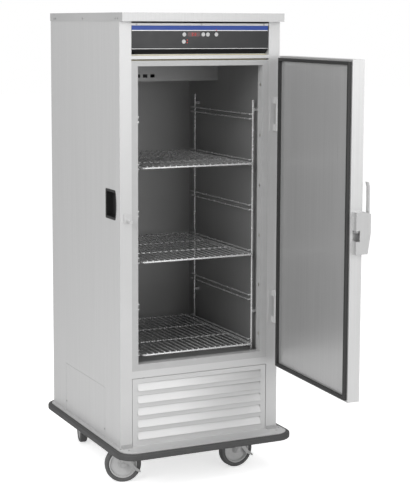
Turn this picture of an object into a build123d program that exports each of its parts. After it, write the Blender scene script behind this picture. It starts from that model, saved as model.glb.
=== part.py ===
from build123d import *
import os
from math import cos, radians, sin

os.makedirs("parts", exist_ok=True)

# Body, in millimetres. The floor is z = 0 and the front faces -Y.
body_width = 711.0
body_depth = 789.0
body_height = 1707.0
deck_height = 180.0
sheet = 1.5

# Top cap
cap_height = 34.0
cap_front_overhang = 35.0
cap_side_overhang = 1.5
cap_flange = 22.0

# Front frame
post_width = 50.5
post_depth = 24.0
post_wall = 2.0
opening_width = 555.0
opening_height = 1195.0
sill_height = 336.5
ring_foot = 26.5
ring_head = 21.5
ring_return = 41.0
ring_wall = 2.0
threshold_height = 30.0
head_gap = 6.0
head_rail_height = 14.0
jamb_hole_length = 14.0
jamb_hole_width = 9.0
jamb_hole_count = 6
jamb_hole_pitch = 208.4
jamb_hole_start = 72.0
jamb_hole_inset = 21.0

# Cabinet walls
liner_side_step = 7.5
liner_floor_drop = 8.5
back_insulation = 68.5
base_insulation = 1.0
top_insulation = 36.0

# Control panel
face_recess = 5.0
face_thickness = 3.0
face_fold_height = 25.5
face_fold_depth = 21.0
lip_height = 9.0
lip_gap = 7.0
housing_depth = 110.0
button_radius = 8.0
button_gap = 0.3
button_proud = 1.0
button_travel = 1.5
display_width = 54.0
display_height = 18.0
display_x = -32.0
display_drop = 41.5
led_radius = 2.5

# Grille
grille_gap = 2.0
grille_inset = 1.0
louver_count = 5
louver_length = 558.0
louver_height = 32.0
louver_pitch = 50.2
louver_start = 42.0
louver_tilt = 20.0

# Side fittings
access_front = 165.5
access_length = 461.0
access_height = 207.0
access_bottom = 5.0
access_gap = 1.0
grip_width = 96.0
grip_height = 104.0
grip_depth = 27.0
grip_wall = 2.0
grip_flange = 8.0
grip_bow = 12.0
grip_centre_y = 92.0
grip_centre_z = 980.0
grip_fit = 0.5

# Base
deck_side = 20.0
deck_front = 92.0
deck_thickness = 3.0
skirt_height = 27.0
skirt_wall = 2.0
deck_corner = 60.0
rim_width = 3.0
rim_height = 1.5
bumper_thickness = 17.0
bumper_height = 26.0
bumper_round = 7.0
rail_x = 175.0
rail_width = 30.0
rail_height = 20.0

# Casters
wheel_diameter = 150.0
wheel_width = 34.0
rim_radius = 57.5
hub_width = 28.0
hub_web = 8.0
boss_radius = 15.0
axle_radius = 6.0
axle_fit = 0.08
caster_trail = 40.0
caster_inset_x = 98.0
caster_inset_y = 111.0
fork_gap = 21.5
fork_wall = 3.0
fork_crown = 34.0
plate_length = 100.0
plate_width = 86.0
plate_thickness = 5.0
race_radius = 30.0
race_height = 6.0
race_gap = 0.5
pedal_reach = 26.0
pedal_rise = 30.0
pedal_thickness = 4.0
pedal_pin_radius = 3.0

# Door, in its own axes: u runs from the hinge pin to the free edge, v outwards
hinge_x = 337.5
hinge_out = 20.0
door_open = 87.2
door_edge = 30.0
door_width = 612.0
door_height = 1294.0
door_bottom = 276.0
door_thickness = 50.0
gasket_thickness = 12.0
gasket_width = 13.0
gasket_margin = 8.0
gasket_squeeze = 0.3
door_skin = 1.2
barrel_radius = 8.0
pin_radius = 3.5
pin_fit = 0.08
hinge_height = 140.0
hinge_knuckle = 28.0
knuckle_gap = 0.5
leaf_thickness = 2.5
leaf_width = 21.0
leaf_inset = 4.0
hinge_low = 526.5
hinge_high = 1330.5
leaf_reach = 36.0

# Latch
latch_length = 32.0
latch_height = 158.0
latch_bottom = 847.0
latch_wall = 2.5
latch_inset = 8.0
latch_depth = 62.0
latch_taper = 12.0
window_height = 40.0
window_depth = 16.0
window_z = 916.0
strike_width = 28.0
strike_height = 36.0
strike_thickness = 2.0
strike_x = -326.5
strike_z = 932.0
keeper_width = 12.0
keeper_height = 12.0
keeper_drop = 12.0
keeper_entry = 10.0
bolt_gap = 1.0
bolt_height = 34.0
lever_width = 20.0
lever_thickness = 5.0
lever_length = 112.0
lever_stand_off = 12.0
lever_bend = 18.0

# Tray rack and shelves
upright_radius = 4.5
upright_x = 266.0
upright_front = 62.0
upright_back = 620.0
upright_height = 1058.0
slide_radius = 3.0
slide_count = 6
slide_spread = 20.0
shelf_width = 508.0
shelf_depth = 660.0
shelf_inset = 18.0
shelf_frame_radius = 4.0
shelf_wire_radius = 2.4
shelf_wire_pitch = 25.4
shelf_corner = 16.0
shelf_low = 366.5
shelf_pitch = 379.5
shelf_gap = 0.3
weld = 0.8

# Cooling system
cover_depth = 289.0
cover_height = 86.0
seam_x = 140.0
fan_radius = 78.0
fan_hub = 22.0
fan_blades = 5
fan_clear = 4.0
evaporator_fan_y = 122.0
condenser_width = 340.0
condenser_height = 235.0
condenser_depth = 45.0
condenser_front = 45.0
compressor_radius = 85.0
compressor_height = 190.0

# Places worked out from the values above
half_width = body_width / 2
front = -body_depth / 2
back = body_depth / 2
body_top = deck_height + body_height
post_inner = half_width - post_width
sill = deck_height + sill_height
lintel = sill + opening_height
ring_bottom = sill - ring_foot
ring_top = lintel + ring_head
threshold_bottom = ring_bottom - threshold_height
head_bottom = ring_top + head_gap
head_top = head_bottom + head_rail_height
liner_half = opening_width / 2 + liner_side_step
liner_floor = sill - liner_floor_drop
liner_ceiling = lintel + liner_side_step
liner_back = back - sheet - back_insulation
liner_front = front + ring_return
insulation_top = liner_ceiling + sheet + top_insulation
face_front = front + face_recess
face_top = body_top - lip_gap - lip_height
face_back = face_front + face_thickness
deck_length = body_depth + deck_front + deck_side
deck_width = body_width + 2 * deck_side
deck_centre_y = (deck_side - deck_front) / 2
wheel_radius = wheel_diameter / 2
deck_under = deck_height - deck_thickness
door_low = deck_height + door_bottom
pin_y = front - hinge_out
inner_v = gasket_thickness + gasket_squeeze - hinge_out
outer_v = inner_v + door_thickness
latch_low = deck_height + latch_bottom
case_inner = inner_v + latch_inset
case_outer = case_inner + latch_depth
door_free = door_edge + door_width
case_end = door_free + latch_length
case_top = latch_low + latch_height
strike_mid = deck_height + strike_z
shelf_levels = [deck_height + shelf_low + shelf_pitch * n for n in range(3)]
slide_levels = [shelf_levels[0] + shelf_pitch / 2 * n for n in range(slide_count)]


def block(low, high, frame=Plane.XY, mode=Mode.ADD):
    """A box between two corners given in the axes of a frame."""
    size = [abs(b - a) for a, b in zip(low, high)]
    middle = [(a + b) / 2 for a, b in zip(low, high)]
    with Locations(frame.location * Location(middle)):
        Box(*size, mode=mode)


def rod(start, end, radius, mode=Mode.ADD):
    """A round bar between two points."""
    path = Vector(end) - Vector(start)
    with Locations(Plane(origin=start, z_dir=path).location):
        Cylinder(radius, path.length, align=(Align.CENTER, Align.CENTER, Align.MIN), mode=mode)


def save(piece, name):
    piece.part.label = name
    export_step(piece.part, f"parts/{name}.step")


# Places of the screws: a point on the surface and the direction that the head faces
cap_screw_z = body_top + 11
cap_screws = []
for side in (-1, 1):
    for inset in (12, 36, body_depth / 2, body_depth - 70, body_depth - 50):
        place = (side * (half_width + cap_side_overhang), front + inset, cap_screw_z)
        cap_screws.append((place, (side, 0, 0)))
lip_screws = [((x, front + face_recess - 2, face_top + 4.5), (0, -1, 0)) for x in (-282, 0, 282)]
access_screws = [
    ((-half_width, front + access_front + 6, deck_height + 36), (-1, 0, 0)),
    ((-half_width, front + access_front + access_length - 6, deck_height + 44), (-1, 0, 0)),
]
deck_screws = []
for side in (-1, 1):
    deck_screws.append(((side * (half_width + 6), front - 12, deck_height), (0, 0, 1)))
    deck_screws.append(((side * (half_width - 70), back + 10, deck_height), (0, 0, 1)))
    deck_screws.append(((side * (half_width - 20), front - 40, deck_height), (0, 0, 1)))
casing_screw_places = cap_screws + lip_screws + access_screws + deck_screws
screw_head_radius = 4.0
screw_head_height = 1.8
screw_radius = 1.8
screw_length = 7.0


def screw_holes(places):
    for place, facing in places:
        rod(Vector(place) - Vector(facing) * screw_length, place, screw_radius, mode=Mode.SUBTRACT)


# Side grips: pockets let into both sides near the front, at hand height
grip_y = front + grip_centre_y
grip_z = deck_height + grip_centre_z


def grip_window(growth, start_x, end_x, mode):
    half_y = grip_width / 2 + growth
    half_z = grip_height / 2 + growth
    block((start_x, grip_y - half_y, grip_z - half_z), (end_x, grip_y + half_y, grip_z + half_z), mode=mode)


access_low = (front + access_front, deck_height + access_bottom)
access_high = (access_low[0] + access_length, access_low[1] + access_height)

with BuildPart() as side_panels:
    for side in (-1, 1):
        block((side * half_width, front, deck_height), (side * (half_width - sheet), back, body_top))
        grip_window(grip_fit, side * half_width, side * (half_width - sheet), Mode.SUBTRACT)
    block(
        (-half_width, access_low[0] - access_gap, access_low[1] - access_gap),
        (-half_width + sheet, access_high[0] + access_gap, access_high[1] + access_gap),
        mode=Mode.SUBTRACT,
    )
save(side_panels, "side_panels")

# The access panel is flush in its cut-out, with a wider flange behind the side panel
access_flange = 8.0
with BuildPart() as access_panel:
    block((-half_width, *access_low), (-half_width + sheet, *access_high))
    block(
        (-half_width + sheet, access_low[0] - access_flange, access_low[1]),
        (-half_width + 2 * sheet, access_high[0] + access_flange, access_high[1] + access_flange),
    )
    screw_holes(access_screws)
save(access_panel, "access_panel")

# Back panel with exhaust slots low down and the hole for the power inlet
inlet_x = -250.0
inlet_z = deck_height + 60
inlet_width = 46.0
inlet_height = 54.0
slot_count = 9
slot_pitch = 24.0
slot_width = 260.0
slot_height = 7.0
with BuildPart() as back_panel:
    block((-half_width + sheet, back - sheet, deck_height), (half_width - sheet, back, body_top))
    with Locations(*[(60, back - sheet / 2, deck_height + 40 + slot_pitch * n) for n in range(slot_count)]):
        Box(slot_width, sheet, slot_height, mode=Mode.SUBTRACT)
    block(
        (inlet_x - inlet_width / 2, back - sheet, inlet_z - inlet_height / 2),
        (inlet_x + inlet_width / 2, back, inlet_z + inlet_height / 2),
        mode=Mode.SUBTRACT,
    )
save(back_panel, "back_panel")

inlet_flange = 9.0
inlet_depth = 38.0
gland_radius = 14.0
gland_length = 18.0
with BuildPart() as power_inlet:
    block(
        (inlet_x - inlet_width / 2 - inlet_flange, back, inlet_z - inlet_height / 2 - inlet_flange),
        (inlet_x + inlet_width / 2 + inlet_flange, back + 3, inlet_z + inlet_height / 2 + inlet_flange),
    )
    block(
        (inlet_x - inlet_width / 2, back - inlet_depth, inlet_z - inlet_height / 2),
        (inlet_x + inlet_width / 2, back, inlet_z + inlet_height / 2),
    )
    rod((inlet_x, back, inlet_z), (inlet_x, back + gland_length, inlet_z), gland_radius)
    chamfer(faces().sort_by(Axis.Y)[-1].edges(), 4)
save(power_inlet, "power_inlet")

# Front posts: channels folded round the front corners, open towards the back
with BuildPart() as front_posts:
    with BuildSketch(Plane.XY.offset(deck_height)):
        with BuildLine():
            Polyline(
                (-half_width + sheet, front),
                (-post_inner, front),
                (-post_inner, front + post_depth),
                (-post_inner - post_wall, front + post_depth),
                (-post_inner - post_wall, front + post_wall),
                (-half_width + sheet + post_wall, front + post_wall),
                (-half_width + sheet + post_wall, front + post_depth),
                (-half_width + sheet, front + post_depth),
                close=True,
            )
        make_face()
    extrude(amount=body_height)
    mirror(about=Plane.YZ)
save(front_posts, "front_posts")

# Front rails between the posts: one under the control panel and one under the opening
with BuildPart() as front_rails:
    for low, high in ((threshold_bottom, ring_bottom), (head_bottom, head_top)):
        block((-post_inner, front, low), (post_inner, front + post_depth, high))
        block(
            (-post_inner, front + post_wall, low + post_wall),
            (post_inner, front + post_depth, high - post_wall),
            mode=Mode.SUBTRACT,
        )
save(front_rails, "front_rails")

# Breaker frame: the flat ring that the gasket closes on, with deep returns into the opening
half_opening = opening_width / 2
with BuildPart() as breaker_frame:
    block((-post_inner, front, ring_bottom), (post_inner, front + ring_wall, ring_top))
    block(
        (-half_opening - ring_wall, front, sill - ring_wall),
        (half_opening + ring_wall, front + ring_return, lintel + ring_wall),
    )
    block((-half_opening, front, sill), (half_opening, front + ring_return, lintel), mode=Mode.SUBTRACT)
    for n in range(jamb_hole_count):
        z = sill + jamb_hole_start + jamb_hole_pitch * n
        with BuildSketch(Plane(origin=(0, front + jamb_hole_inset, z), x_dir=(0, 0, 1), z_dir=(1, 0, 0))):
            SlotOverall(jamb_hole_length, jamb_hole_width)
        extrude(amount=half_width, both=True, mode=Mode.SUBTRACT)
save(breaker_frame, "breaker_frame")

# Inner liner: a seamless tub, its front lip seated on the breaker frame's returns
with BuildPart() as inner_liner:
    block(
        (-liner_half - sheet, liner_front, liner_floor - sheet),
        (liner_half + sheet, liner_back + sheet, liner_ceiling + sheet),
    )
    block(
        (-liner_half, liner_front + sheet, liner_floor),
        (liner_half, liner_back, liner_ceiling),
        mode=Mode.SUBTRACT,
    )
    block((-half_opening, liner_front, sill), (half_opening, liner_front + sheet, lintel), mode=Mode.SUBTRACT)
save(inner_liner, "inner_liner")

# Foam between the liner and the outer panels, notched for the two grips
with BuildPart() as cabinet_insulation:
    block(
        (-half_width + sheet, front + post_depth, threshold_bottom + base_insulation),
        (half_width - sheet, back - sheet, insulation_top),
    )
    block(
        (-liner_half - sheet, front + post_depth, liner_floor - sheet),
        (liner_half + sheet, liner_back + sheet, liner_ceiling + sheet),
        mode=Mode.SUBTRACT,
    )
    for side in (-1, 1):
        grip_window(
            grip_fit, side * (half_width - sheet), side * (half_width - grip_depth - grip_fit), Mode.SUBTRACT
        )
save(cabinet_insulation, "cabinet_insulation")

# Grips: a cup behind a flange whose front and back edges bow outwards
with BuildPart() as side_grips:
    with BuildSketch(Plane(origin=(-half_width, grip_y, grip_z), x_dir=(0, -1, 0), z_dir=(-1, 0, 0))):
        half_y = grip_width / 2 + grip_flange
        half_z = grip_height / 2 + grip_flange
        with BuildLine():
            Line((-half_y, half_z), (half_y - grip_bow, half_z))
            ThreePointArc((half_y - grip_bow, half_z), (half_y, 0), (half_y - grip_bow, -half_z))
            Line((half_y - grip_bow, -half_z), (-half_y, -half_z))
            Line((-half_y, -half_z), (-half_y, half_z))
        make_face()
        fillet(vertices(), 6)
    extrude(amount=sheet)
    grip_window(0, -half_width, -half_width + grip_depth, Mode.ADD)
    grip_window(-grip_wall, -half_width - sheet, -half_width + grip_depth - grip_wall, Mode.SUBTRACT)
    mirror(about=Plane.YZ)
save(side_grips, "side_grips")

# Top cap: a pan turned down over the body, closed underneath by a flange
with BuildPart() as top_cap:
    cap_low = (-half_width - cap_side_overhang, front - cap_front_overhang, body_top)
    cap_high = (half_width + cap_side_overhang, back + cap_side_overhang, body_top + cap_height)
    block(cap_low, cap_high)
    block(
        [value + sheet for value in cap_low], [value - sheet for value in cap_high], mode=Mode.SUBTRACT
    )
    block(
        (-half_width + cap_flange, front + cap_flange, body_top),
        (half_width - cap_flange, back - cap_flange, body_top + sheet),
        mode=Mode.SUBTRACT,
    )
    screw_holes(cap_screws)
save(top_cap, "top_cap")

# Control housing: a tray between the posts with a lip above the black face
housing_half = post_inner - 1
with BuildPart() as control_housing:
    housing_top = face_top + lip_height
    block((-housing_half, front + 24, insulation_top), (housing_half, front + housing_depth, housing_top))
    block(
        (-housing_half + sheet, front + 24, insulation_top + sheet),
        (housing_half - sheet, front + housing_depth - sheet, housing_top - sheet),
        mode=Mode.SUBTRACT,
    )
    block(
        (-housing_half, face_front - 2, housing_top - sheet), (housing_half, front + 24, housing_top)
    )
    block((-housing_half, face_front - 2, face_top), (housing_half, face_front - 2 + sheet, housing_top))
    screw_holes(lip_screws)
save(control_housing, "control_housing")

# Buttons and lamps on the face, as offsets from the body's centre and down from its top
button_names = ("mode_button", "up_button", "down_button", "defrost_button", "power_button")
button_places = [(-74.8, 51.3), (8.9, 51.3), (29.5, 51.3), (67.2, 51.3), (-76.9, 79.5)]
led_places = [(-61.9, 73.6), (-61.9, 83.6), (67.1, 34.0)]
face_profile = [
    (face_front, face_top),
    (face_front, head_top + face_fold_height),
    (face_front + face_fold_depth, insulation_top + sheet),
    (face_back + face_fold_depth, insulation_top + sheet),
    (face_back, head_top + face_fold_height + 1),
    (face_back, face_top),
]
with BuildPart() as control_face:
    with BuildSketch(Plane.YZ):
        with BuildLine():
            Polyline(*face_profile, close=True)
        make_face()
    extrude(amount=housing_half - sheet, both=True)
    for x, drop in button_places:
        rod((x, face_front, body_top - drop), (x, face_back, body_top - drop), button_radius + button_gap, Mode.SUBTRACT)
    for x, drop in led_places:
        rod((x, face_front, body_top - drop), (x, face_back, body_top - drop), led_radius, Mode.SUBTRACT)
    block(
        (display_x - display_width / 2, face_front, body_top - display_drop - display_height),
        (display_x + display_width / 2, face_back, body_top - display_drop),
        mode=Mode.SUBTRACT,
    )
save(control_face, "control_face")

board_y = face_back + 10
board_thickness = 1.6
with BuildPart() as control_board:
    block((-120, board_y, body_top - 96), (100, board_y + board_thickness, body_top - 24))
    for x in (-112, 92):
        for drop in (90, 28):
            rod((x, face_back, body_top - drop), (x, board_y, body_top - drop), 3)
    block(
        (display_x - display_width / 2, face_front + 0.3, body_top - display_drop - display_height),
        (display_x + display_width / 2, board_y, body_top - display_drop),
    )
    for x, drop in led_places:
        rod((x, face_front - 0.3, body_top - drop), (x, board_y, body_top - drop), led_radius)
    for x, drop in button_places:
        block((x - 3, board_y - 4, body_top - drop - 3), (x + 3, board_y, body_top - drop + 3))
save(control_board, "control_board")

for name, (x, drop) in zip(button_names, button_places):
    with BuildPart() as button:
        z = body_top - drop
        rod((x, face_front - button_proud, z), (x, face_back + 2, z), button_radius)
        rod((x, face_back + button_gap, z), (x, face_back + 2, z), button_radius + 2)
    save(button, name)

# Grille: one sheet with five slats turned about their middles in the windows
grille_half = post_inner - grille_gap
grille_top = threshold_bottom - grille_gap
with BuildPart() as louver_grille:
    block((-grille_half, front + grille_inset, deck_height), (grille_half, front + grille_inset + sheet, grille_top))
    for side in (-1, 1):
        block(
            (side * grille_half, front + grille_inset, deck_height),
            (side * (grille_half - sheet), front + grille_inset + 18, grille_top),
        )
    for n in range(louver_count):
        z = deck_height + louver_start + louver_pitch * n
        with Locations((0, front + grille_inset + sheet / 2, z)):
            Box(louver_length, sheet, louver_height, mode=Mode.SUBTRACT)
            Box(louver_length + 1, sheet, louver_height + 1, rotation=(-louver_tilt, 0, 0))
save(louver_grille, "louver_grille")

# Deck: a tray wider than the body, with a raised rim and a skirt that carries the bumper
with BuildPart() as base_deck:
    with BuildSketch(Plane.XY.offset(deck_height)):
        with Locations((0, deck_centre_y)):
            RectangleRounded(deck_width, deck_length, deck_corner)
    extrude(amount=-skirt_height)
    with BuildSketch(Plane.XY.offset(deck_under)):
        with Locations((0, deck_centre_y)):
            RectangleRounded(deck_width - 2 * skirt_wall, deck_length - 2 * skirt_wall, deck_corner - skirt_wall)
    extrude(amount=-skirt_height, mode=Mode.SUBTRACT)
    with BuildSketch(Plane.XY.offset(deck_height)):
        with Locations((0, deck_centre_y)):
            RectangleRounded(deck_width, deck_length, deck_corner)
            RectangleRounded(
                deck_width - 2 * rim_width, deck_length - 2 * rim_width, deck_corner - rim_width, mode=Mode.SUBTRACT
            )
    extrude(amount=rim_height)
    screw_holes(deck_screws)
save(base_deck, "base_deck")

bumper_top = deck_height - 1
with BuildPart() as bumper:
    with BuildSketch(Plane.XY.offset(bumper_top)):
        with Locations((0, deck_centre_y)):
            RectangleRounded(
                deck_width + 2 * bumper_thickness, deck_length + 2 * bumper_thickness, deck_corner + bumper_thickness
            )
    extrude(amount=-bumper_height)
    fillet(edges().group_by(Axis.Z)[0] + edges().group_by(Axis.Z)[-1], bumper_round)
    with BuildSketch(Plane.XY.offset(bumper_top)):
        with Locations((0, deck_centre_y)):
            RectangleRounded(deck_width, deck_length, deck_corner)
    extrude(amount=-bumper_height, mode=Mode.SUBTRACT)
save(bumper, "bumper")

# Chassis under the deck, with a dark foot bracket in front of and behind each post
foot_width = post_width - 6
foot_height = 12.0
foot_length = 16.0
with BuildPart() as base_frame:
    for side in (-1, 1):
        block(
            (side * (rail_x - rail_width / 2), front - deck_front + 20, deck_under - rail_height),
            (side * (rail_x + rail_width / 2), back, deck_under),
        )
    for side in (-1, 1):
        block(
            (side * (half_width - 3), front - foot_length, deck_height),
            (side * (half_width - 3 - foot_width), front, deck_height + 2),
        )
        block(
            (side * (half_width - 3), front - 2, deck_height),
            (side * (half_width - 3 - foot_width), front, deck_height + foot_height),
        )
save(base_frame, "base_frame")

# Screws of the casing, each a pan head on a short shank
with BuildPart() as casing_screws:
    for place, facing in casing_screw_places:
        outwards = Vector(facing)
        rod(Vector(place) - outwards * screw_length, place, screw_radius)
        rod(place, Vector(place) + outwards * screw_head_height, screw_head_radius)
save(casing_screws, "casing_screws")

# Casters: swivel axis, and the heading from that axis to the wheel, for each corner
swivel_x = half_width - caster_inset_x
swivel_y = body_depth / 2 - caster_inset_y
caster_corners = {
    "front_left": (-swivel_x, -swivel_y, 163.0, True),
    "front_right": (swivel_x, -swivel_y, 184.0, True),
    "rear_left": (-swivel_x, swivel_y, 76.0, False),
    "rear_right": (swivel_x, swivel_y, 132.0, False),
}
race_bottom = deck_under - plate_thickness - race_height
crown_top = race_bottom - race_gap
crown_thickness = 4.0
crown_bottom = crown_top - crown_thickness
bolt_inset = 11.0
bolt_radius = 4.2

with BuildPart() as caster_plates:
    for x, y, heading, braked in caster_corners.values():
        with BuildSketch(Plane.XY.offset(deck_under)):
            with Locations((x, y)):
                RectangleRounded(plate_width, plate_length, 6)
        extrude(amount=-plate_thickness)
        rod((x, y, deck_under - plate_thickness), (x, y, race_bottom), race_radius)
        for dx in (-1, 1):
            for dy in (-1, 1):
                corner = (x + dx * (plate_width / 2 - bolt_inset), y + dy * (plate_length / 2 - bolt_inset))
                rod((*corner, deck_under - plate_thickness), (*corner, deck_under - plate_thickness - 5), 6)
save(caster_plates, "caster_plates")

for corner, (x, y, heading, braked) in caster_corners.items():
    ahead = Vector(cos(radians(heading)), sin(radians(heading)), 0)
    across = Vector(-sin(radians(heading)), cos(radians(heading)), 0)
    centre = Vector(x, y, wheel_radius) + ahead * caster_trail
    profile_plane = Plane(origin=(x, y, 0), x_dir=ahead, z_dir=-across)
    axle_plane = Plane(origin=centre, x_dir=across, z_dir=ahead)
    axle_axis = Axis(centre, across)
    swivel_frame = Plane(origin=(x, y, 0), x_dir=ahead, z_dir=(0, 0, 1))

    with BuildPart() as fork:
        with BuildSketch(Plane(origin=(x, y, crown_bottom), x_dir=ahead, z_dir=(0, 0, 1))):
            Circle(fork_crown)
            Rectangle(56, 2 * (fork_gap + fork_wall))
        extrude(amount=crown_thickness)
        for side in (-1, 1):
            leg_plane = Plane(
                origin=Vector(x, y, 0) + across * (side * fork_gap), x_dir=ahead, z_dir=-across
            )
            with BuildSketch(leg_plane):
                with BuildLine():
                    Polyline(
                        (-24, crown_top),
                        (28, crown_top),
                        (caster_trail + 15, wheel_radius + 4),
                        (caster_trail + 11, wheel_radius - 12),
                        (caster_trail - 11, wheel_radius - 12),
                        (caster_trail - 17, wheel_radius + 6),
                        (-24, crown_bottom - 14),
                        close=True,
                    )
                make_face()
                fillet(vertices().sort_by(Axis.Z)[:4], 7)
            extrude(amount=-side * fork_wall)
        reach = fork_gap + fork_wall
        rod(centre - across * reach, centre + across * reach, axle_radius)
        for side in (-1, 1):
            seat = centre + across * (side * reach)
            rod(seat, seat + across * (side * 4), axle_radius + 3)
        if braked:
            pivot = Vector(x, y, wheel_radius + pedal_rise) + ahead * pedal_reach
            rod(pivot + across * reach, pivot + across * (reach + pedal_thickness + 0.6), pedal_pin_radius)
            rod(
                pivot + across * (reach + pedal_thickness + 0.6),
                pivot + across * (reach + pedal_thickness + 2.6),
                pedal_pin_radius + 3,
            )
    save(fork, f"caster_fork_{corner}")

    with BuildPart() as hub:
        with BuildSketch(axle_plane):
            with BuildLine():
                Polyline(
                    (-fork_gap + shelf_gap, axle_radius + axle_fit),
                    (fork_gap - shelf_gap, axle_radius + axle_fit),
                    (fork_gap - shelf_gap, boss_radius),
                    (hub_web / 2, boss_radius + 4),
                    (hub_web / 2, rim_radius - 8),
                    (hub_width / 2, rim_radius - 4),
                    (hub_width / 2, rim_radius),
                    (-hub_width / 2, rim_radius),
                    (-hub_width / 2, rim_radius - 4),
                    (-hub_web / 2, rim_radius - 8),
                    (-hub_web / 2, boss_radius + 4),
                    (-fork_gap + shelf_gap, boss_radius),
                    close=True,
                )
            make_face()
        revolve(axis=axle_axis)
        with BuildSketch(Plane(origin=centre, x_dir=ahead, z_dir=-across)):
            with PolarLocations(35, 5, start_angle=90):
                SlotArc(CenterArc((-35, 0), 35, -20, 40), 17)
        extrude(amount=hub_width, both=True, mode=Mode.SUBTRACT)
    save(hub, f"caster_hub_{corner}")

    with BuildPart() as tyre:
        with BuildSketch(axle_plane):
            with Locations((0, (rim_radius + wheel_radius) / 2)):
                Rectangle(wheel_width, wheel_radius - rim_radius)
            fillet(vertices().group_by(Axis.Z)[-1], 8)
        revolve(axis=axle_axis)
    save(tyre, f"caster_tyre_{corner}")

    if braked:
        # The pedal hangs on a pin through the fork's outer leg, clear of the axle nut
        seat = fork_gap + fork_wall + shelf_gap
        pedal_plane = Plane(origin=Vector(x, y, 0) + across * seat, x_dir=ahead, z_dir=-across)
        with BuildPart() as pedal:
            with BuildSketch(pedal_plane):
                with BuildLine():
                    Polyline(
                        (pedal_reach - 12, wheel_radius + 30),
                        (pedal_reach - 4, wheel_radius + 42),
                        (pedal_reach + 10, wheel_radius + 38),
                        (pedal_reach + 8, wheel_radius + 24),
                        (pedal_reach - 24, wheel_radius - 18),
                        (pedal_reach - 56, wheel_radius - 34),
                        (pedal_reach - 58, wheel_radius - 27),
                        (pedal_reach - 32, wheel_radius - 4),
                        close=True,
                    )
                make_face()
                with Locations((pedal_reach, wheel_radius + pedal_rise)):
                    Circle(pedal_pin_radius + axle_fit, mode=Mode.SUBTRACT)
            extrude(amount=-pedal_thickness)
        save(pedal, f"brake_pedal_{corner}")

# Hinge leaves on the right post, each with a pin through its two knuckles
pin = (hinge_x, pin_y)
hinge_bottoms = (deck_height + hinge_low - 70, deck_height + hinge_high - 70)
with BuildPart() as hinge_frame_leaves:
    for bottom in hinge_bottoms:
        top = bottom + hinge_height
        block(
            (hinge_x - leaf_inset - leaf_width, front - leaf_thickness, bottom), (hinge_x - leaf_inset, front, top)
        )
        for low, high in ((bottom, bottom + hinge_knuckle), (top - hinge_knuckle, top)):
            rod((*pin, low), (*pin, high), barrel_radius)
            block((hinge_x - barrel_radius, pin_y, low), (hinge_x, front, high))
        rod((*pin, bottom), (*pin, top), pin_radius)
save(hinge_frame_leaves, "hinge_frame_leaves")

# Strike on the left post: a plate with a keeper that enters the window of the latch
keeper_u = door_free + latch_length / 2
keeper_x = hinge_x - keeper_u
keeper_z = strike_mid - keeper_drop
keeper_reach = hinge_out + case_inner + keeper_entry
with BuildPart() as strike_plate:
    block(
        (strike_x - strike_width / 2, front - strike_thickness, strike_mid - strike_height / 2),
        (strike_x + strike_width / 2, front, strike_mid + strike_height / 2),
    )
    block(
        (keeper_x - keeper_width / 2, front - keeper_reach, keeper_z - keeper_height / 2),
        (keeper_x + keeper_width / 2, front, keeper_z + keeper_height / 2),
    )
save(strike_plate, "strike_plate")

# Door, drawn in its own frame at the angle that it stands open
swing = radians(door_open)
toward_edge = (-cos(swing), -sin(swing), 0)
door_frame = Plane(origin=(hinge_x, pin_y, 0), x_dir=toward_edge, z_dir=(0, 0, 1))
door_top = door_low + door_height

with BuildPart() as door_skin_pan:
    block((door_edge, inner_v, door_low), (door_free, outer_v, door_top), door_frame)
    block(
        (door_edge + door_skin, inner_v, door_low + door_skin),
        (door_free - door_skin, outer_v - door_skin, door_top - door_skin),
        door_frame,
        Mode.SUBTRACT,
    )
save(door_skin_pan, "door_skin")

with BuildPart() as door_liner:
    block(
        (door_edge + door_skin, inner_v, door_low + door_skin),
        (door_free - door_skin, inner_v + door_skin, door_top - door_skin),
        door_frame,
    )
save(door_liner, "door_liner")

with BuildPart() as door_insulation:
    block(
        (door_edge + door_skin, inner_v + door_skin, door_low + door_skin),
        (door_free - door_skin, outer_v - door_skin, door_top - door_skin),
        door_frame,
    )
save(door_insulation, "door_insulation")

# Gasket: a soft ring round the inner face, rounded where it meets the breaker frame
gasket_low = (door_edge + gasket_margin, door_low + gasket_margin)
gasket_high = (door_free - gasket_margin, door_top - gasket_margin)
with BuildPart() as door_gasket:
    block((gasket_low[0], inner_v - gasket_thickness, gasket_low[1]), (gasket_high[0], inner_v, gasket_high[1]), door_frame)
    chamfer(faces().sort_by(Axis(door_frame.origin, door_frame.y_dir))[0].edges(), 2)
    block(
        (gasket_low[0] + gasket_width, inner_v - gasket_thickness, gasket_low[1] + gasket_width),
        (gasket_high[0] - gasket_width, inner_v, gasket_high[1] - gasket_width),
        door_frame,
        Mode.SUBTRACT,
    )
save(door_gasket, "door_gasket")

with BuildPart() as door_hinge_leaves:
    for bottom in hinge_bottoms:
        low = bottom + hinge_knuckle + knuckle_gap
        high = bottom + hinge_height - hinge_knuckle - knuckle_gap
        rod((*pin, low), (*pin, high), barrel_radius)
        block((0, -1.5, low), (door_edge, 1.5, high), door_frame)
        block((door_edge - leaf_thickness, -4, bottom), (door_edge, leaf_reach, bottom + hinge_height), door_frame)
        rod((*pin, low), (*pin, high), pin_radius + pin_fit, mode=Mode.SUBTRACT)
save(door_hinge_leaves, "door_hinge_leaves")

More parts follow.
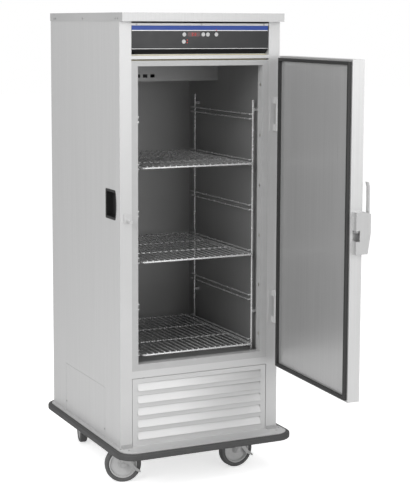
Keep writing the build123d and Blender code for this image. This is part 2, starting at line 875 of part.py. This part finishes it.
# Latch case on the free edge: hollow, with a window for the keeper and an open top for the lever
lever_v = outer_v + lever_stand_off - 4
lever_z = case_top - 14
lever_pin_radius = 3.0
lever_fit = 0.08
window_low = deck_height + window_z - window_height / 2
case_side = Plane(
    origin=door_frame.from_local_coords((door_free, 0, 0)), x_dir=door_frame.y_dir, z_dir=door_frame.x_dir
)
with BuildPart() as latch_case:
    with BuildSketch(case_side):
        with BuildLine():
            Polyline(
                (case_inner, latch_low),
                (case_inner, case_top),
                (outer_v + 1, case_top),
                (case_outer, case_top - 7),
                (case_outer, latch_low + 78),
                (case_outer - latch_taper, latch_low),
                close=True,
            )
        make_face()
    extrude(amount=latch_length)
    block(
        (door_free + latch_wall, case_inner + latch_wall, latch_low + 24),
        (case_end - latch_wall, case_outer - latch_taper - latch_wall, case_top - latch_wall),
        door_frame,
        Mode.SUBTRACT,
    )
    block(
        (keeper_u - keeper_width, case_inner, window_low),
        (case_end, case_inner + window_depth, window_low + window_height),
        door_frame,
        Mode.SUBTRACT,
    )
    block(
        (door_free + latch_wall, outer_v + 1, case_top - 26),
        (case_end - latch_wall, case_outer, case_top),
        door_frame,
        Mode.SUBTRACT,
    )
    pin_start = door_frame.from_local_coords((door_free + 1, lever_v, lever_z))
    pin_end = door_frame.from_local_coords((case_end - 1, lever_v, lever_z))
    rod(pin_start, pin_end, lever_pin_radius)
save(latch_case, "latch_case")

# Bolt inside the case, just above the keeper, and the lever that lifts it
bolt_low = keeper_z + keeper_height / 2 + bolt_gap
with BuildPart() as latch_bolt:
    block(
        (keeper_u - 9, case_inner + latch_wall + shelf_gap, bolt_low),
        (keeper_u + 9, case_inner + latch_wall + 12, bolt_low + bolt_height),
        door_frame,
    )
save(latch_bolt, "latch_bolt")

lever_foot = outer_v + lever_stand_off
lever_side = Plane(
    origin=door_frame.from_local_coords((keeper_u - lever_width / 2, 0, 0)),
    x_dir=door_frame.y_dir,
    z_dir=door_frame.x_dir,
)
with BuildPart() as latch_lever:
    with BuildSketch(lever_side):
        with BuildLine():
            Polyline(
                (lever_foot, lever_z),
                (lever_foot, case_top + lever_length - lever_bend),
                (lever_foot - 5, case_top + lever_length),
                (lever_foot - 5 + lever_thickness, case_top + lever_length),
                (lever_foot + lever_thickness, case_top + lever_length - lever_bend),
                (lever_foot + lever_thickness, lever_z),
                close=True,
            )
        make_face()
        with Locations((lever_v, lever_z)):
            Circle(6)
        with Locations((lever_foot, lever_z)):
            Rectangle(10, 12)
        with Locations((lever_v, lever_z)):
            Circle(lever_pin_radius + lever_fit, mode=Mode.SUBTRACT)
    extrude(amount=lever_width)
save(latch_lever, "latch_lever")

# Tray rack: four uprights clipped to the walls, and a pair of rods for each tray level
slide_x = shelf_width / 2 - shelf_frame_radius
rack_front = front + upright_front
rack_back = front + upright_back
rod_drop = shelf_frame_radius + shelf_gap + slide_radius
clip_size = 11.0
with BuildPart() as rack_uprights:
    for y in (rack_front, rack_back):
        rod((upright_x, y, liner_floor), (upright_x, y, liner_floor + upright_height), upright_radius)
        for z in (liner_floor + 170, liner_floor + upright_height - 40):
            block(
                (upright_x, y - clip_size / 2, z - clip_size / 2), (liner_half, y + clip_size / 2, z + clip_size / 2)
            )
    mirror(about=Plane.YZ)
save(rack_uprights, "rack_uprights")

# Each slide is one rod with its ends bent outwards to the uprights
slide_end = upright_x - upright_radius - shelf_gap
with BuildPart() as tray_slides:
    for level in slide_levels:
        for z in (level - rod_drop, level - rod_drop + slide_spread):
            rod((slide_x, rack_front - slide_radius, z), (slide_x, rack_back + slide_radius, z), slide_radius)
            for y in (rack_front, rack_back):
                rod((slide_x, y, z), (slide_end, y, z), slide_radius - 0.5)
    mirror(about=Plane.YZ)
save(tray_slides, "tray_slides")

# Wire shelves: a rounded frame of bar with long wires welded on top
shelf_front = front + shelf_inset
shelf_mid_y = shelf_front + shelf_depth / 2
wire_count = int(shelf_width / shelf_wire_pitch) - 1
bar_half_x = shelf_width / 2 - shelf_frame_radius
bar_half_y = shelf_depth / 2 - shelf_frame_radius
for name, level in zip(("shelf_bottom", "shelf_middle", "shelf_top"), shelf_levels):
    with BuildPart() as shelf:
        with BuildLine(Plane(origin=(0, shelf_mid_y, level))) as loop:
            Polyline(
                (bar_half_x, -bar_half_y),
                (bar_half_x, bar_half_y),
                (-bar_half_x, bar_half_y),
                (-bar_half_x, -bar_half_y),
                close=True,
            )
            fillet(vertices(), shelf_corner)
        path = loop.wires()[0]
        with BuildSketch(Plane(origin=path @ 0, z_dir=path % 0)):
            Circle(shelf_frame_radius)
        sweep(path=path)
        for y in (-bar_half_y / 3, bar_half_y / 3):
            rod((-bar_half_x, shelf_mid_y + y, level), (bar_half_x, shelf_mid_y + y, level), shelf_wire_radius + 0.6)
        wire_z = level + shelf_frame_radius + shelf_wire_radius - weld
        reach = bar_half_y + 2
        for n in range(wire_count):
            x = (n - (wire_count - 1) / 2) * shelf_wire_pitch
            rod((x, shelf_mid_y - reach, wire_z), (x, shelf_mid_y + reach, wire_z), shelf_wire_radius)
        for y in (-bar_half_y / 3, bar_half_y / 3):
            rod((-bar_half_x, shelf_mid_y + y, level), (-bar_half_x + 4, shelf_mid_y + y, level + 2), 2)
    save(shelf, name)

# Evaporator at the ceiling behind a folded cover, blown by a fan over a round hole
cover_front = liner_back - cover_depth
cover_low = liner_ceiling - cover_height
with BuildPart() as evaporator_cover:
    block((-liner_half, cover_front, cover_low), (liner_half, liner_back, liner_ceiling))
    block(
        (-liner_half + sheet, cover_front + sheet, cover_low + sheet),
        (liner_half - sheet, liner_back, liner_ceiling),
        mode=Mode.SUBTRACT,
    )
    rod((0, evaporator_fan_y, cover_low), (0, evaporator_fan_y, cover_low + sheet), fan_radius + fan_clear, Mode.SUBTRACT)
    for n in range(7):
        block(
            (-240 + 34 * n, cover_front, cover_low + 16),
            (-220 + 34 * n, cover_front + sheet, cover_low + 30),
            mode=Mode.SUBTRACT,
        )
    block(
        (seam_x, cover_front, cover_low + 3), (seam_x + 2.5, cover_front + sheet / 2, liner_ceiling), mode=Mode.SUBTRACT
    )
save(evaporator_cover, "evaporator_cover")

condenser_y = front + condenser_front
coil_low = cover_low + 12
with BuildPart() as finned_coils:
    block((-230, liner_back - 115, coil_low), (230, liner_back - 15, liner_ceiling))
    block(
        (-condenser_width / 2, condenser_y, deck_height),
        (condenser_width / 2, condenser_y + condenser_depth, deck_height + condenser_height),
    )
    for side in (-1, 1):
        for n in range(4):
            z = deck_height + 40 + 52 * n
            x = side * condenser_width / 2
            rod((x, condenser_y + 12, z), (x + side * 14, condenser_y + 12, z), 5)
            rod((x, condenser_y + 33, z), (x + side * 14, condenser_y + 33, z), 5)
            block(
                (x + side * 9, condenser_y + 12, z - 4), (x + side * 14, condenser_y + 33, z + 4)
            )
save(finned_coils, "finned_coils")

condenser_fan_y = condenser_y + condenser_depth + 24
condenser_fan_z = deck_height + 125
motor_radius = 28.0
shaft_radius = 4.0
motor_gap = 6.0
evaporator_fan_z = cover_low + 20
with BuildPart() as fan_motors:
    rod((0, condenser_fan_y + 12 + motor_gap, condenser_fan_z), (0, condenser_fan_y + 72, condenser_fan_z), motor_radius)
    rod((0, condenser_fan_y - 10, condenser_fan_z), (0, condenser_fan_y + 30, condenser_fan_z), shaft_radius)
    block((-14, condenser_fan_y + 40, deck_height), (14, condenser_fan_y + 56, condenser_fan_z))
    block((-40, condenser_fan_y + 26, deck_height), (40, condenser_fan_y + 70, deck_height + 4))
    rod((0, evaporator_fan_y, evaporator_fan_z + 10 + motor_gap), (0, evaporator_fan_y, liner_ceiling), motor_radius)
    rod((0, evaporator_fan_y, evaporator_fan_z - 10), (0, evaporator_fan_y, evaporator_fan_z + 30), shaft_radius)
save(fan_motors, "fan_motors")

fan_places = {
    "condenser_fan": Plane(origin=(0, condenser_fan_y, condenser_fan_z), x_dir=(1, 0, 0), z_dir=(0, -1, 0)),
    "evaporator_fan": Plane(origin=(0, evaporator_fan_y, evaporator_fan_z), x_dir=(1, 0, 0), z_dir=(0, 0, 1)),
}
for name, place in fan_places.items():
    with BuildPart(place) as fan:
        Cylinder(fan_hub, 18)
        with PolarLocations((fan_hub + fan_radius) / 2 - 4, fan_blades):
            Box(fan_radius - fan_hub, 44, 1.6, rotation=(24, 0, 0))
        Cylinder(fan_radius, 60, mode=Mode.INTERSECT)
        Cylinder(shaft_radius + axle_fit, 30, mode=Mode.SUBTRACT)
    save(fan, name)

compressor_x = -150.0
compressor_y = 180.0
with BuildPart() as compressor:
    foot = deck_height + 14
    rod((compressor_x, compressor_y, foot), (compressor_x, compressor_y, foot + compressor_height), compressor_radius)
    fillet(edges().group_by(Axis.Z)[-1] + edges().group_by(Axis.Z)[0], 40)
    block((compressor_x - 100, compressor_y - 65, foot - 3), (compressor_x + 100, compressor_y + 65, foot + 4))
    for dx in (-85, 85):
        for dy in (-50, 50):
            rod((compressor_x + dx, compressor_y + dy, deck_height), (compressor_x + dx, compressor_y + dy, foot), 12)
    rod((compressor_x + 60, compressor_y, foot + 90), (compressor_x + 150, compressor_y, foot + 90), 6)
    rod((compressor_x + 144, compressor_y, foot + 90), (compressor_x + 144, compressor_y, foot + 200), 6)
    block((compressor_x - 102, compressor_y - 30, foot + 60), (compressor_x - 70, compressor_y + 30, foot + 120))
save(compressor, "compressor")
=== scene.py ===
from math import cos, pi, sin

import bmesh
import bpy
from mathutils import Matrix, Vector


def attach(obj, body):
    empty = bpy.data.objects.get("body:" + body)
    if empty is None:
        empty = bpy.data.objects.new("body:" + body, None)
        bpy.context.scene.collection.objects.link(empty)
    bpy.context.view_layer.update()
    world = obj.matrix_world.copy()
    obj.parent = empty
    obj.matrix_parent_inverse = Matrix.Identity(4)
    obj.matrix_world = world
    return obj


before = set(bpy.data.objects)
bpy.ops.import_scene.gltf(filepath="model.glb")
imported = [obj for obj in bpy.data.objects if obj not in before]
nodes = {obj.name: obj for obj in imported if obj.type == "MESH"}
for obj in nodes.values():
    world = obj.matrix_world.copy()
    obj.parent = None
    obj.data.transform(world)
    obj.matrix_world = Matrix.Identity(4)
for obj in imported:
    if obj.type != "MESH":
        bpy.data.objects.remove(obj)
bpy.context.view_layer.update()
scene = bpy.context.scene
print("cabinet loaded:", len(nodes), "nodes")


def linear(value):
    # the colours below are written as they look on the screen
    return value / 12.92 if value <= 0.04045 else ((value + 0.055) / 1.055) ** 2.4


def colour(grey, tint=(1.0, 1.0, 1.0)):
    return [linear(min(1.0, grey * t)) for t in tint] + [1.0]


finishes = {
    "cabinetSteel": {"grey": 0.80, "metal": 0.45, "rough": 0.42, "grain": (2, 220, 2), "depth": 0.05},
    "linerSteel": {"grey": 0.60, "metal": 0.6, "rough": 0.40, "grain": (2, 180, 2), "depth": 0.06},
    "capSteel": {"grey": 0.76, "metal": 0.45, "rough": 0.40, "grain": (180, 2, 2), "depth": 0.05},
    "doorSteel": {"grey": 0.83, "metal": 0.45, "rough": 0.42, "grain": (200, 200, 2), "depth": 0.04},
    "doorInner": {"grey": 0.76, "metal": 0.55, "rough": 0.30, "grain": (160, 160, 2), "depth": 0.05},
    "brightWire": {"grey": 0.82, "metal": 0.7, "rough": 0.25, "grain": (40, 40, 40), "depth": 0.02},
    "zincPlate": {"grey": 0.72, "metal": 0.6, "rough": 0.38, "grain": (60, 60, 60), "depth": 0.08},
    "hardwareSteel": {"grey": 0.80, "metal": 0.55, "rough": 0.32, "grain": (90, 90, 2), "depth": 0.04},
    "screwSteel": {"grey": 0.66, "metal": 0.6, "rough": 0.35, "grain": (60, 60, 60), "depth": 0.04},
    "ringPlastic": {"grey": 0.70, "metal": 0.1, "rough": 0.45, "grain": (30, 30, 30), "depth": 0.03},
    "blackFace": {"grey": 0.05, "tint": (0.9, 1.0, 1.3), "metal": 0.0, "rough": 0.30, "grain": (20, 20, 20), "depth": 0.05},
    "gripBlack": {"grey": 0.10, "metal": 0.0, "rough": 0.5, "grain": (80, 80, 80), "depth": 0.1},
    "bumperRubber": {"grey": 0.27, "metal": 0.0, "rough": 0.6, "grain": (90, 90, 90), "depth": 0.12},
    "gasketRubber": {"grey": 0.17, "metal": 0.0, "rough": 0.55, "grain": (70, 70, 70), "depth": 0.1},
    "wheelTread": {"grey": 0.36, "metal": 0.0, "rough": 0.55, "grain": (70, 70, 70), "depth": 0.1},
    "wheelHub": {"grey": 0.78, "metal": 0.3, "rough": 0.4, "grain": (60, 60, 60), "depth": 0.05},
    "paleFoam": {"grey": 0.85, "tint": (1.0, 0.96, 0.78), "metal": 0.0, "rough": 0.9, "grain": (120, 120, 120), "depth": 0.1},
    "coilFins": {"grey": 0.72, "metal": 0.6, "rough": 0.45, "grain": (2, 2, 260), "depth": 0.1},
    "blackEnamel": {"grey": 0.11, "metal": 0.0, "rough": 0.35, "grain": (40, 40, 40), "depth": 0.06},
    "buttonGrey": {"grey": 0.74, "metal": 0.1, "rough": 0.3, "grain": (40, 40, 40), "depth": 0.04},
    "blueBand": {"grey": 0.60, "tint": (0.02, 0.40, 1.0), "metal": 0.0, "rough": 0.35, "grain": (40, 40, 40), "depth": 0.03},
    "lampRed": {"grey": 0.85, "tint": (1.0, 0.12, 0.10), "metal": 0.0, "rough": 0.3, "grain": (40, 40, 40), "depth": 0.02},
    "displayGlass": {"grey": 0.16, "tint": (1.5, 0.2, 0.25), "metal": 0.0, "rough": 0.15, "grain": (40, 40, 40), "depth": 0.02},
}


def makeFinish(name, look):
    mat = bpy.data.materials.new(name)
    mat.use_nodes = True
    tree = mat.node_tree
    bsdf = tree.nodes["Principled BSDF"]
    base = colour(look["grey"], look.get("tint", (1.0, 1.0, 1.0)))
    bsdf.inputs["Metallic"].default_value = look["metal"]
    coords = tree.nodes.new("ShaderNodeTexCoord")
    stretch = tree.nodes.new("ShaderNodeMapping")
    stretch.inputs["Scale"].default_value = look["grain"]
    noise = tree.nodes.new("ShaderNodeTexNoise")
    noise.inputs["Scale"].default_value = 1.0
    noise.inputs["Detail"].default_value = 4.0
    tree.links.new(coords.outputs["Object"], stretch.inputs["Vector"])
    tree.links.new(stretch.outputs["Vector"], noise.inputs["Vector"])
    shade = tree.nodes.new("ShaderNodeValToRGB")
    low = 1.0 - look["depth"]
    shade.color_ramp.elements[0].position = 0.3
    shade.color_ramp.elements[1].position = 0.7
    shade.color_ramp.elements[0].color = [c * low for c in base[:3]] + [1.0]
    shade.color_ramp.elements[1].color = [min(1.0, c * (1.0 + look["depth"] * 0.5)) for c in base[:3]] + [1.0]
    tree.links.new(noise.outputs["Fac"], shade.inputs["Fac"])
    tree.links.new(shade.outputs["Color"], bsdf.inputs["Base Color"])
    gloss = tree.nodes.new("ShaderNodeMapRange")
    gloss.inputs["To Min"].default_value = look["rough"] - 0.06
    gloss.inputs["To Max"].default_value = look["rough"] + 0.08
    tree.links.new(noise.outputs["Fac"], gloss.inputs["Value"])
    tree.links.new(gloss.outputs["Result"], bsdf.inputs["Roughness"])
    return mat


materials = {name: makeFinish(name, look) for name, look in finishes.items()}
print("finishes made:", len(materials))

nodeFinish = {
    "inner_liner": "linerSteel", "evaporator_cover": "linerSteel", "top_cap": "capSteel",
    "door_skin": "doorSteel", "door_liner": "doorInner", "door_gasket": "gasketRubber",
    "rack_uprights": "brightWire", "tray_slides": "brightWire", "shelf_bottom": "brightWire",
    "shelf_middle": "brightWire", "shelf_top": "brightWire", "base_frame": "zincPlate",
    "caster_plates": "zincPlate", "back_panel": "zincPlate", "casing_screws": "screwSteel",
    "hinge_frame_leaves": "hardwareSteel", "door_hinge_leaves": "hardwareSteel",
    "latch_case": "hardwareSteel", "latch_lever": "hardwareSteel", "latch_bolt": "screwSteel",
    "strike_plate": "hardwareSteel", "breaker_frame": "ringPlastic", "control_face": "blackFace",
    "side_grips": "gripBlack", "power_inlet": "gripBlack", "fan_motors": "gripBlack",
    "condenser_fan": "gripBlack", "evaporator_fan": "gripBlack", "bumper": "bumperRubber",
    "cabinet_insulation": "paleFoam", "door_insulation": "paleFoam", "finned_coils": "coilFins",
    "compressor": "blackEnamel", "control_board": "displayGlass",
}
for name, node in nodes.items():
    pick = nodeFinish.get(name, "cabinetSteel")
    if name.startswith("caster_tyre"):
        pick = "wheelTread"
    elif name.startswith("caster_hub"):
        pick = "wheelHub"
    elif name.startswith(("caster_fork", "brake_pedal")):
        pick = "zincPlate"
    elif name.endswith("_button"):
        pick = "buttonGrey"
    node.data.materials.clear()
    node.data.materials.append(materials[pick])
print("nodes finished")

def addMesh(name, bm, finish, bodyName):
    bmesh.ops.recalc_face_normals(bm, faces=bm.faces)
    mesh = bpy.data.meshes.new(name)
    bm.to_mesh(mesh)
    bm.free()
    mesh.transform(Matrix.Scale(0.001, 4))
    mesh.materials.append(materials[finish])
    piece = bpy.data.objects.new(name, mesh)
    scene.collection.objects.link(piece)
    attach(piece, bodyName)
    return piece


def addBox(bm, low, high):
    size = [h - l for l, h in zip(low, high)]
    mid = [(l + h) / 2 for l, h in zip(low, high)]
    bmesh.ops.create_cube(bm, size=1.0, matrix=Matrix.Translation(mid) @ Matrix.Diagonal((*size, 1.0)))


# control panel trim, in millimetres as in the CAD model: the blue band along the top, its light line, and the fold line
panel = {"halfLength": 302.0, "proud": 0.5, "bandTop": 1870.6, "bandBottom": 1853.0, "lineBottom": 1850.0, "face": -389.5}
bm = bmesh.new()
addBox(bm, (-panel["halfLength"], panel["face"] - panel["proud"], panel["bandBottom"]),
       (panel["halfLength"], panel["face"] + 0.2, panel["bandTop"]))
addMesh("blueBandTrim", bm, "blueBand", "cabinet")
bm = bmesh.new()
addBox(bm, (-panel["halfLength"], panel["face"] - panel["proud"], panel["lineBottom"]),
       (panel["halfLength"], panel["face"] + 0.2, panel["bandBottom"]))
addBox(bm, (-panel["halfLength"], panel["face"] - panel["proud"], 1778.6),
       (panel["halfLength"], panel["face"] + 0.2, 1780.4))
addMesh("panelLines", bm, "hardwareSteel", "cabinet")

# seven-segment digits on the display and the three lamps
digits = {"centre": (-32.0, 1836.5), "width": 7.0, "height": 12.0, "stroke": 1.7, "pitch": 12.5, "shown": "38"}
segmentsOf = {"3": "abcdg", "8": "abcdefg"}


def addDigit(bm, symbol, x, z):
    w, h, s = digits["width"] / 2, digits["height"] / 2, digits["stroke"]
    y = panel["face"]
    bars = {
        "a": ((-w, h - s), (w, h)), "g": ((-w, -s / 2), (w, s / 2)), "d": ((-w, -h), (w, -h + s)),
        "f": ((-w, 0), (-w + s, h)), "b": ((w - s, 0), (w, h)),
        "e": ((-w, -h), (-w + s, 0)), "c": ((w - s, -h), (w, 0)),
    }
    for key in segmentsOf[symbol]:
        (x0, z0), (x1, z1) = bars[key]
        addBox(bm, (x + x0, y - 0.25, z + z0), (x + x1, y + 0.35, z + z1))


bm = bmesh.new()
for n, symbol in enumerate(digits["shown"]):
    addDigit(bm, symbol, digits["centre"][0] + (n - 0.5) * digits["pitch"], digits["centre"][1] - 0.5)
lamps = {"places": [(-61.9, 1813.4), (-61.9, 1803.4), (67.1, 1853.0)], "radius": 2.3}
for x, z in lamps["places"]:
    turn = Matrix.Translation((x, panel["face"] - 0.3, z)) @ Matrix.Rotation(pi / 2, 4, "X")
    bmesh.ops.create_cone(bm, cap_ends=True, segments=20, radius1=lamps["radius"], radius2=lamps["radius"],
                          depth=0.8, matrix=turn)
addMesh("litSegments", bm, "lampRed", "cabinet")
print("control panel dressed")

# plain pale floor and a backdrop that the camera sees as white
studio = {"floorHalf": 30.0, "shade": 0.9, "glow": 0.6}


def makeBackdropFinish():
    # matt white that glows a little for the camera only, so the shadows stay
    mat = bpy.data.materials.new("studioWhite")
    mat.use_nodes = True
    tree = mat.node_tree
    tree.nodes.clear()
    out = tree.nodes.new("ShaderNodeOutputMaterial")
    matt = tree.nodes.new("ShaderNodeBsdfDiffuse")
    matt.inputs["Color"].default_value = (studio["shade"], studio["shade"], studio["shade"], 1.0)
    glow = tree.nodes.new("ShaderNodeEmission")
    glow.inputs["Strength"].default_value = studio["glow"]
    both = tree.nodes.new("ShaderNodeAddShader")
    path = tree.nodes.new("ShaderNodeLightPath")
    pick = tree.nodes.new("ShaderNodeMixShader")
    tree.links.new(matt.outputs[0], both.inputs[0])
    tree.links.new(glow.outputs[0], both.inputs[1])
    tree.links.new(path.outputs["Is Camera Ray"], pick.inputs[0])
    tree.links.new(matt.outputs[0], pick.inputs[1])
    tree.links.new(both.outputs[0], pick.inputs[2])
    tree.links.new(pick.outputs[0], out.inputs["Surface"])
    return mat


bpy.ops.mesh.primitive_plane_add(size=2 * studio["floorHalf"], location=(0, 0, -0.0005))
floor = bpy.context.object
floor.name = "studioFloor"
floor.data.materials.append(makeBackdropFinish())

world = bpy.data.worlds.new("studioWorld")
scene.world = world
world.use_nodes = True
tree = world.node_tree
tree.nodes.clear()
out = tree.nodes.new("ShaderNodeOutputWorld")
path = tree.nodes.new("ShaderNodeLightPath")
seen = tree.nodes.new("ShaderNodeBackground")
seen.inputs["Color"].default_value = (1, 1, 1, 1)
seen.inputs["Strength"].default_value = 1.0
fill = tree.nodes.new("ShaderNodeBackground")
fill.inputs["Color"].default_value = (1, 1, 1, 1)
fill.inputs["Strength"].default_value = 0.50
mix = tree.nodes.new("ShaderNodeMixShader")
tree.links.new(path.outputs["Is Camera Ray"], mix.inputs[0])
tree.links.new(fill.outputs[0], mix.inputs[1])
tree.links.new(seen.outputs[0], mix.inputs[2])
tree.links.new(mix.outputs[0], out.inputs["Surface"])

lights = {
    "keyLeft": {"place": (-4.2, -2.6, 3.6), "size": 3.0, "power": 168},
    "fillFront": {"place": (1.4, -5.2, 2.6), "size": 2.6, "power": 64},
    "topSoft": {"place": (0.0, -0.6, 4.6), "size": 3.0, "power": 42},
}
for name, light in lights.items():
    data = bpy.data.lights.new(name, "AREA")
    data.size = light["size"]
    data.energy = light["power"]
    lamp = bpy.data.objects.new(name, data)
    lamp.location = light["place"]
    lamp.rotation_euler = (Vector((0, 0, 1.0)) - lamp.location).to_track_quat("-Z", "Y").to_euler()
    scene.collection.objects.link(lamp)
print("studio lit")

# camera fitted to the photograph: place in metres, angles in radians, lens in pixels
shot = {"place": (-2.0932 - 0.3555, -5.0874 - 0.3945, 1.879), "yaw": 0.4513, "pitch": 0.1179, "roll": 0.0039,
        "focal": 1405.1, "centre": (205.0, 190.0), "width": 410, "height": 500}
cameraData = bpy.data.cameras.new("photoCamera")
camera = bpy.data.objects.new("photoCamera", cameraData)
scene.collection.objects.link(camera)
scene.camera = camera
forward = Vector((sin(shot["yaw"]) * cos(shot["pitch"]), cos(shot["yaw"]) * cos(shot["pitch"]), -sin(shot["pitch"])))
right = Vector((cos(shot["yaw"]), -sin(shot["yaw"]), 0.0))
up = right.cross(forward)
turnedRight = right * cos(shot["roll"]) + up * sin(shot["roll"])
turnedUp = up * cos(shot["roll"]) - right * sin(shot["roll"])
axes = Matrix((turnedRight, turnedUp, -forward)).transposed().to_4x4()
camera.matrix_world = Matrix.Translation(shot["place"]) @ axes
cameraData.sensor_fit = "VERTICAL"
cameraData.sensor_height = 24.0
cameraData.lens = shot["focal"] * 24.0 / shot["height"]
cameraData.shift_x = (shot["width"] / 2 - shot["centre"][0]) / shot["height"]
cameraData.shift_y = (shot["centre"][1] - shot["height"] / 2) / shot["height"]
cameraData.clip_end = 120.0
scene.view_settings.view_transform = "Standard"
print("camera set")
